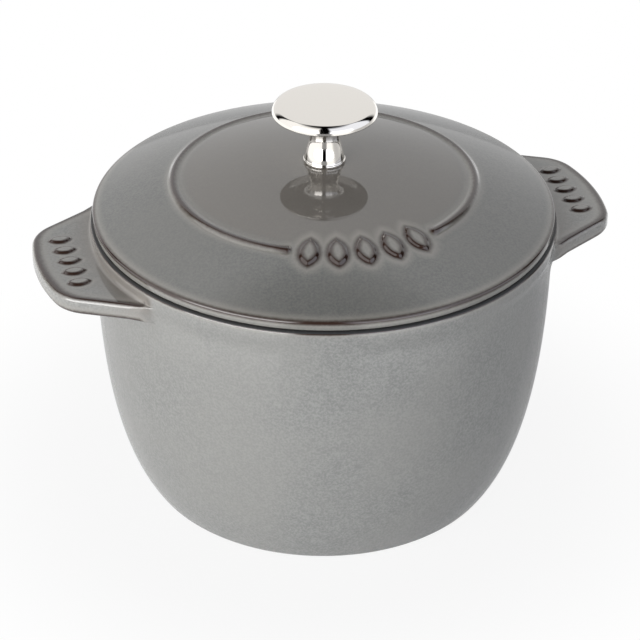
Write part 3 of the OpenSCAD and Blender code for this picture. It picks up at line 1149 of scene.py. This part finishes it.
    def rest_line(self) -> np.ndarray:
        """Edge, side, seat, lip and inside, from the dome's end back to the knob's hole.

        Returns:
            Points, of which the first is the one after the dome's end.
        """
        top_z, low_z = self.edge_z - self.upper_edge, self.seat_z + self.lower_edge
        inner_edge = self.radius - self.lower_edge
        lip_in, lip_z, turn = self.lip_r - self.lip_w, self.seat_z - self.lip_h, self.lip_w / 4
        below = np.linspace(lip_in, self.boss_r, self.inner_rows)
        boss_z = float(self.inner_z(self.boss_r)) - self.boss_h
        hole_z = (boss_z + float(self.dome_z(self.pad_r))) / 2
        count = self.edge_rows + 1
        return joined(
            arc((self.radius - self.upper_edge, top_z), self.upper_edge, self.dome_end_a, 0, count)[1:],
            spread(np.array([[self.radius, top_z], [self.radius, low_z]]), self.side_rows + 1),
            arc((inner_edge, low_z), self.lower_edge, 0, -90, count),
            spread(np.array([[inner_edge, self.seat_z], [self.lip_r, self.seat_z]]), 4),
            [[self.lip_r, lip_z + turn]],
            arc((self.lip_r - turn, lip_z + turn), turn, 0, -90, 6),
            arc((lip_in + turn, lip_z + turn), turn, -90, -180, 6),
            np.stack([below, self.inner_z(below)], axis=1),
            [[self.boss_r, boss_z], [self.hole_r, boss_z], [self.hole_r, hole_z]],
        )

    def build(self) -> bpy.types.Object:
        """Makes the lid's one surface, from the knob's hole over the dome and back below it.

        Returns:
            The lid, with the distances that its glaze needs at each point.
        """
        azimuth = self.columns()
        flat = np.zeros((1, len(azimuth)))
        top, rest = self.top_line(), self.rest_line()
        above = len(top)
        height, from_ring, inside = self.relief_at(top[:, :1], azimuth)
        height[: len(self.pad_steps) + 1] = 0
        normal = top / self.dome_r - [0, self.centre_z / self.dome_r]
        rows_r = np.concatenate([top[:, :1] + normal[:, :1] * height, rest[:, :1] + flat])
        rows_z = np.concatenate([top[:, 1:] + normal[:, 1:] * height, rest[:, 1:] + flat])
        run = run_lengths(rows_r, rows_z)
        past_edge = run - run[above + self.edge_line_row]
        from_seat = np.abs(run - run[above + self.seat_line_row])
        edge_mm = np.minimum(np.maximum(-past_edge, past_edge * self.drain), from_seat)
        edge_mm[:above] = np.minimum(edge_mm[:above], from_ring)
        mark_mm = np.full_like(rows_r, NO_MARK)
        mark_mm[:above] = inside
        # Warmer grey inside the ring, easing out over disc_fade towards it.
        warm_tint = np.zeros_like(rows_r)
        warm_tint[:above] = smooth((self.ring_r - top[:, :1]) / self.disc_fade)
        finish = (np.arange(len(rows_r)) >= above + self.black_row).astype(int)
        values = {"edge_mm": edge_mm, "mark_mm": mark_mm, "warm_tint": warm_tint}
        points = turned(rows_r, rows_z, azimuth + self.turn)
        made = surface("lid_casting", points, Ends.LOOP, values, finish)
        log.info("lid: %d rows, %d columns", *rows_r.shape)
        return made

    def build_pegs(self) -> bpy.types.Object:
        """Makes the pegs below the dome: one tapered profile, turned and set out in rings.

        Returns:
            All pegs as one object.
        """
        tip = self.peg_r / 2
        profile = joined(
            [[0, -self.peg_h]],
            arc((0, tip - self.peg_h), tip, -90, 0, 6)[1:],
            [[self.peg_r, 0], [self.peg_r + self.peg_skirt, self.peg_sunk], [0, self.peg_sunk]],
        )
        peg = turned(profile[:, :1], profile[:, 1:], np.arange(0, 360, self.peg_turn))
        rows, columns = peg.shape[:2]
        ring = np.arange(self.peg_rows)
        counts = self.peg_step * (ring + 1)
        radius = np.repeat(self.peg_first_r + ring * self.peg_pitch, counts)
        angle = np.concatenate([(np.arange(n) + i / 2) * 360 / n for i, n in zip(ring, counts)])
        a = np.radians(angle + self.turn)
        place = np.stack([radius * np.cos(a), radius * np.sin(a), self.inner_z(radius)], axis=1)
        points = (place[:, None, None, :] + peg[None]).reshape(-1, 3)
        index = np.arange(rows * columns).reshape(rows, columns)
        low, high = index[:-1], index[1:]
        quads = np.stack([low, np.roll(low, -1, 1), np.roll(high, -1, 1), high], axis=2)
        offsets = np.arange(len(place))[:, None, None] * rows * columns
        faces = (quads.reshape(1, -1, 4) + offsets).reshape(-1, 4)
        mesh = bpy.data.meshes.new("lid_pegs")
        mesh.from_pydata((points * MM).tolist(), [], faces.tolist())
        weld(mesh)
        mesh.shade_smooth()
        made = bpy.data.objects.new("lid_pegs", mesh)
        bpy.context.scene.collection.objects.link(made)
        log.info("lid: %d pegs", len(place))
        return made

    def dress(
        self,
        made: bpy.types.Object,
        pegs: bpy.types.Object,
        outside: bpy.types.Material,
        inside: bpy.types.Material,
    ) -> None:
        """Gives the lid and its pegs their enamels and their place in the frame.

        Args:
            made: the lid.
            pegs: the pegs below it.
            outside: enamel of the dome and the side.
            inside: enamel of the seat and all below it, pegs too.
        """
        made.data.materials.append(outside)
        made.data.materials.append(inside)
        pegs.data.materials.append(inside)
        for piece in (made, pegs):
            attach(piece, "root")
        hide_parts("lid")


@dataclass
class TurnedKnob:
    """The mushroom knob, turned from one bar, with its blind bore for the screw.

    Sizes are in millimetres and angles in degrees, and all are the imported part's.
    """

    seat_z: float
    height: float = 23.1
    cap_r: float = 18.6
    cap_h: float = 3.9
    cap_top_r: float = 17.1
    cap_crown: float = 1.2
    cap_slope: float = 36.0
    neck_r: float = 5.4
    waist: float = 10.5
    neck_lean: float = 7.0
    foot_r: float = 7.5
    foot_h: float = 0.9
    bore_r: float = 3.1
    bore_depth: float = 12.0
    small_break: float = 0.3
    cap_lip: float = 0.5
    cap_undercut: float = 1.6

    def profile(self) -> np.ndarray:
        """Half section from the bore's end round the foot, neck and cap to the crest.

        Returns:
            Points whose heights start at the lid's pad.
        """
        widest = self.height - self.cap_h
        edge = self.height - self.cap_crown
        flare = widest - self.cap_undercut
        brow, cut = (edge - widest) / 2, self.small_break
        foot_top = (self.foot_r - cut, self.foot_h + cut)
        rise = (self.waist - foot_top[1]) / 3
        lean, slope = math.radians(self.neck_lean), math.radians(self.cap_slope)
        leave = (foot_top[0] - rise * math.tan(lean), foot_top[1] + rise)
        step = (brow * 2 / 3 * math.cos(slope), brow * 2 / 3 * math.sin(slope))
        lip = widest - self.cap_lip
        return joined(
            [[0, self.bore_depth], [self.bore_r * 0.9, self.bore_depth]],
            [[self.bore_r, self.bore_depth - cut], [self.bore_r, cut], [self.bore_r + cut, 0]],
            [[self.foot_r - cut, 0], [self.foot_r - cut / 3, cut / 3]],
            [[self.foot_r, cut], [self.foot_r, self.foot_h]],
            arc((foot_top[0], self.foot_h), cut, 0, 90, 5),
            cubic([foot_top, leave, (self.neck_r, self.waist - rise), (self.neck_r, self.waist)], 22),
            cubic([(self.neck_r, self.waist), (self.neck_r, (self.waist + 2 * flare) / 3),
                   (self.neck_r + self.cap_undercut, flare), (self.cap_r / 2, flare)], 26),
            cubic([(self.cap_r / 2, flare), (self.cap_r * 2 / 3, flare),
                   (self.cap_r * 5 / 6, lip), (self.cap_r - cut, lip)], 16),
            arc((self.cap_r - cut, lip + cut), cut, -90, 0, 6),
            cubic([(self.cap_r, widest), (self.cap_r, widest + brow),
                   (self.cap_top_r + step[0], edge - step[1]), (self.cap_top_r, edge)], 18),
            cubic([(self.cap_top_r, edge), (self.cap_top_r - step[0], edge + step[1]),
                   (self.cap_top_r / 2, self.height), (0, self.height)], 26),
        )

    def build(self) -> bpy.types.Object:
        """Makes the knob's surface by turning its profile.

        Returns:
            The knob.
        """
        line = self.profile() + [0, self.seat_z]
        azimuth = np.arange(0, 360, 2.0)
        made = surface("turned_knob", turned(line[:, :1], line[:, 1:], azimuth), Ends.POLES)
        log.info("knob: %d rows, %d columns", len(line), len(azimuth))
        return made

    def dress(self, made: bpy.types.Object, steel: bpy.types.Material) -> None:
        """Gives the knob its polish and its place in the frame.

        Args:
            made: the knob.
            steel: its polished steel.
        """
        made.data.materials.append(steel)
        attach(made, "root")
        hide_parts("knob")


@dataclass
class Fasteners:
    """The screw and the washer that hold the knob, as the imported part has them."""

    nodes: tuple[str, ...] = ("knob_screw", "knob_washer")

    def dress(self, zinc: bpy.types.Material) -> None:
        """Gives both fasteners their plating.

        Args:
            zinc: the plated steel.
        """
        for name in self.nodes:
            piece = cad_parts[name]
            piece.data.materials.clear()
            piece.data.materials.append(zinc)
            log.info("fastener: %s", name)


@dataclass(frozen=True)
class Softbox:
    """One rectangular lamp that looks at the pot, its azimuth counted from the camera's."""

    name: str = "left_softbox"
    azimuth: float = -42.0
    elevation: float = 10.0
    distance: float = 1.2
    width: float = 0.9
    height: float = 0.4
    power: float = 0.4
    colour: str = "ffffff"
    target_z: float = 70.0

    def build(self, view_azimuth: float) -> None:
        """Makes the lamp and turns it to the middle of the pot.

        Args:
            view_azimuth: the camera's azimuth.
        """
        target = Vector((0, 0, self.target_z * MM))
        lamp = bpy.data.lights.new(self.name, "AREA")
        lamp.shape = "RECTANGLE"
        lamp.size, lamp.size_y = self.width, self.height
        lamp.energy = self.power
        lamp.color = linear(self.colour)[:3]
        made = bpy.data.objects.new(self.name, lamp)
        made.location = target + heading(view_azimuth + self.azimuth, self.elevation) * self.distance
        made.rotation_euler = (target - made.location).to_track_quat("-Z", "Y").to_euler()
        bpy.context.scene.collection.objects.link(made)


@dataclass(frozen=True)
class LightWall:
    """A large soft screen round the pot, which stands on the horizon and fades out at its ends.

    Its azimuth is counted from the camera's, and half is the angle that it reaches to each side.
    It fades there over an angle of soft, and upwards between the two elevations in top.
    """

    azimuth: float
    half: float
    soft: float
    top: tuple[float, float]
    level: float
    matte_share: float = 1.0
    colour: str = "ffffff"

    def light(self, tree: Tree, direction: Socket, view_azimuth: float) -> Socket:
        """Light of the screen in a direction: its level, times a fade in height and in azimuth.

        Glossy surfaces mirror it at its full level. It lights matte ones at matte_share of that.

        Args:
            tree: the world's node tree.
            direction: socket of the direction looked in.
            view_azimuth: the camera's azimuth.

        Returns:
            The socket of the light's colour and strength as one vector.
        """
        height = add_node(tree, "ShaderNodeSeparateXYZ", {0: direction}).outputs["Z"]
        low, high = (math.sin(math.radians(a)) for a in self.top)
        below = ramp(tree, height, low, high, self.level, 0.0)
        level = vector_arith(tree, "MULTIPLY", {0: direction, 1: (1, 1, 0)}).outputs[0]
        level = vector_arith(tree, "NORMALIZE", {0: level}).outputs[0]
        middle = tuple(heading(view_azimuth + self.azimuth, 0))
        towards = vector_arith(tree, "DOT_PRODUCT", {0: level, 1: middle}).outputs["Value"]
        ends = (self.half + self.soft / 2, self.half - self.soft / 2)
        edge, inner = (math.cos(math.radians(a)) for a in ends)
        within = ramp(tree, towards, edge, inner, 0.0, 1.0)
        share = ramp(tree, mirrored_only(tree), 0.0, 1.0, self.matte_share, 1.0)
        strength = arith(tree, "MULTIPLY", arith(tree, "MULTIPLY", below, within), share)
        return vector_arith(tree, "SCALE", {0: linear(self.colour)[:3], "Scale": strength}).outputs[0]


@dataclass(frozen=True)
class PhotoCamera:
    """The camera, where the photograph was taken from.

    It shows the middle of the lid's lower edge, at target_z, at target_px in the image.
    """

    azimuth: float = -17.66
    elevation: float = 28.695
    distance: float = 947.57
    focal_px: float = 2650.0
    image_px: float = 640.0
    target_z: float = 110.2
    target_px: tuple[float, float] = (322.588, 202.896)
    roll: float = -0.602
    sensor: float = 36.0

    def build(self) -> None:
        """Makes the camera: it faces the target, turns aside and up from it, and then rolls."""
        data = bpy.data.cameras.new("photo_camera")
        data.sensor_width = self.sensor
        data.lens = self.focal_px / self.image_px * self.sensor
        data.clip_start, data.clip_end = 0.05, 50
        target = Vector((0, 0, self.target_z * MM))
        back = heading(self.azimuth, self.elevation)
        place = target + back * self.distance * MM
        right = Vector((0, 0, 1)).cross(back).normalized()
        up = back.cross(right)
        half = self.image_px / 2
        sideways = math.atan((self.target_px[0] - half) / self.focal_px)
        upwards = math.atan((self.target_px[1] - half) / self.focal_px)
        forward = -back
        turn = Matrix.Rotation(sideways, 3, up)
        forward, right = turn @ forward, turn @ right
        tilt = Matrix.Rotation(upwards, 3, right)
        forward, up = tilt @ forward, tilt @ up
        bank = Matrix.Rotation(math.radians(self.roll), 3, forward)
        right, up = bank @ right, bank @ up
        made = bpy.data.objects.new("photo_camera", data)
        made.matrix_world = Matrix.Translation(place) @ Matrix((right, up, -forward)).transposed().to_4x4()
        bpy.context.scene.collection.objects.link(made)
        bpy.context.scene.camera = made


@dataclass(frozen=True)
class PaperFloor:
    """Pale paper under the pot, which keeps a soft shadow and is seen close to white.

    Its lengths are metres from the middle of the base. The camera sees the share white of plain
    white beside the pot and all of it past shadow. A reflection sees near_white close to the pot,
    whose two values hold on its left and right, fade over slope, and give way to the far floor
    over far_from. The far floor is white at both sides, dim behind the pot, and dark in the gap
    before the camera. Its right end dims from a slant of right_end on.
    """

    size: float = 6.0
    paper: str = "d2d2d2"
    drop: float = 0.1
    white: float = 0.9
    shadow: tuple[float, float] = (0.08, 0.18)
    near_white: tuple[float, float] = (0.45, 0.1)
    slope: float = 0.35
    far_from: tuple[float, float] = (0.17, 0.29)
    gap: tuple[float, float] = (0.2, 0.34)
    right_end: tuple[float, float] = (0.75, 0.97)
    right_white: float = 0.3
    back_white: float = 0.38
    back_from: float = 0.1
    shine: float = 1.35

    @staticmethod
    def along(tree: Tree, place: Socket, azimuth: float) -> Socket:
        """Socket of how far a place on the floor lies out along an azimuth."""
        return vector_arith(tree, "DOT_PRODUCT", {0: place, 1: tuple(heading(azimuth, 0))}).outputs["Value"]

    def mirrored_white(self, tree: Tree, place: Socket, distance: Socket, view_azimuth: float) -> Socket:
        """Share of plain white that a reflection sees at a place on the floor.

        Args:
            tree: the floor's node tree.
            place: socket of the place.
            distance: socket of its distance from the pot's axis.
            view_azimuth: the camera's azimuth.

        Returns:
            The socket of the share.
        """
        side = self.along(tree, place, view_azimuth + 90)
        near = ramp(tree, side, -self.slope, self.slope, *self.near_white)
        slant = arith(tree, "DIVIDE", side, distance)
        aside = ramp(tree, arith(tree, "ABSOLUTE", slant), *self.gap, 0.0, 1.0)
        lit = ramp(tree, slant, *self.right_end, 1.0, self.right_white)
        depth = self.along(tree, place, view_azimuth + 180)
        behind = ramp(tree, depth, 0.0, self.back_from, 0.0, self.back_white)
        far = arith(tree, "MAXIMUM", behind, arith(tree, "MULTIPLY", aside, lit))
        away = ramp(tree, distance, *self.far_from, 0.0, 1.0)
        return arith(tree, "ADD", near, arith(tree, "MULTIPLY", away, arith(tree, "SUBTRACT", far, near)))

    def glow_share(self, tree: Tree, view_azimuth: float) -> Socket:
        """Share of the floor that shows plain white, for each kind of ray.

        Args:
            tree: the floor's node tree.
            view_azimuth: the camera's azimuth.

        Returns:
            The socket of the share, 0 for the rays that light matte surfaces.
        """
        place = add_node(tree, "ShaderNodeTexCoord").outputs["Object"]
        distance = vector_arith(tree, "LENGTH", {0: place}).outputs["Value"]
        shown = ramp(tree, distance, *self.shadow, self.white, 1.0)
        shown = arith(tree, "MULTIPLY", plainly_seen(tree), shown)
        in_mirror = self.mirrored_white(tree, place, distance, view_azimuth)
        return arith(tree, "MAXIMUM", shown, arith(tree, "MULTIPLY", mirrored_only(tree), in_mirror))

    def build(self, view_azimuth: float) -> None:
        """Makes the floor's mesh and paper.

        Args:
            view_azimuth: the camera's azimuth.
        """
        half, low = self.size / 2, -self.drop * MM
        mesh = bpy.data.meshes.new("studio_floor")
        corners = [(-half, -half, low), (half, -half, low), (half, half, low), (-half, half, low)]
        mesh.from_pydata(corners, [], [(0, 1, 2, 3)])
        material, tree = new_material("white paper floor")
        matte = add_node(tree, "ShaderNodeBsdfDiffuse", {"Color": linear(self.paper)}).outputs["BSDF"]
        strength = ramp(tree, mirrored_only(tree), 0.0, 1.0, 1.0, self.shine)
        white = {"Color": linear("ffffff"), "Strength": strength}
        glow = add_node(tree, "ShaderNodeEmission", white).outputs["Emission"]
        mixed = {0: self.glow_share(tree, view_azimuth), 1: matte, 2: glow}
        close_material(tree, add_node(tree, "ShaderNodeMixShader", mixed).outputs["Shader"])
        mesh.materials.append(material)
        made = bpy.data.objects.new("studio_floor", mesh)
        bpy.context.scene.collection.objects.link(made)


@dataclass(frozen=True)
class Surroundings:
    """The world: soft screens in a dark room, behind plain white that only the camera sees.

    The first three screens stand behind, left and right of the pot and are as bright as paper.
    The last two are the strong, lower ones before it on the left and right, which give the
    enamel its highlights.
    """

    walls: tuple[LightWall, ...] = (
        LightWall(180.0, 52.0, 14.0, (58.0, 80.0), 0.97, 0.75),
        LightWall(-62.0, 49.0, 8.0, (54.0, 76.0), 1.25, 0.35),
        LightWall(60.0, 47.0, 8.0, (54.0, 76.0), 1.25, 0.25, "f1f5ff"),
        LightWall(-40.0, 26.0, 12.0, (2.0, 48.0), 6.5),
        LightWall(36.0, 23.0, 12.0, (0.0, 34.0), 2.4, 1.0, "f5f8ff"),
    )

    def build(self, view_azimuth: float) -> None:
        """Makes the world as the sum of its screens, and of plain white for the camera.

        Args:
            view_azimuth: the camera's azimuth.
        """
        world = bpy.data.worlds.new("white surroundings")
        bpy.context.scene.world = world
        world.use_nodes = True
        tree = world.node_tree
        tree.nodes.clear()
        direction = add_node(tree, "ShaderNodeTexCoord").outputs["Generated"]
        seen = plainly_seen(tree)
        total = add_node(tree, "ShaderNodeCombineXYZ", {0: seen, 1: seen, 2: seen}).outputs[0]
        for wall in self.walls:
            light = wall.light(tree, direction, view_azimuth)
            total = vector_arith(tree, "ADD", {0: total, 1: light}).outputs[0]
        shade = add_node(tree, "ShaderNodeBackground", {"Color": total, "Strength": 1.0})
        add_node(tree, "ShaderNodeOutputWorld", {"Surface": shade.outputs[0]})


@dataclass
class Studio:
    """Camera, floor, surroundings and one weak lamp."""

    camera: PhotoCamera = field(default_factory=PhotoCamera)
    floor: PaperFloor = field(default_factory=PaperFloor)
    surroundings: Surroundings = field(default_factory=Surroundings)
    lamp: Softbox = field(default_factory=Softbox)

    def build(self) -> None:
        """Makes everything round the pot."""
        bpy.context.scene.view_settings.view_transform = "Standard"
        self.camera.build()
        self.floor.build(self.camera.azimuth)
        self.surroundings.build(self.camera.azimuth)
        self.lamp.build(self.camera.azimuth)
        log.info("studio: camera, floor, %d screens and a lamp", len(self.surroundings.walls))


def main() -> None:
    """Builds the pot, lid, knob and fasteners in order, then the studio."""
    logging.basicConfig(level=logging.INFO, format="%(name)s: %(message)s")
    black = MatteEnamel().material()

    pot = PotCasting()
    pot.dress(pot.build(), GlazedEnamel().material(), black)

    lid = LidCasting()
    lid.dress(lid.build(), lid.build_pegs(), ShadedLidEnamel().material(), black)

    knob = TurnedKnob(seat_z=float(lid.dome_z(lid.pad_r)))
    knob.dress(knob.build(), PolishedSteel().material())

    Fasteners().dress(PlatedSteel().material())
    Studio().build()


if __name__ == "__main__":
    main()
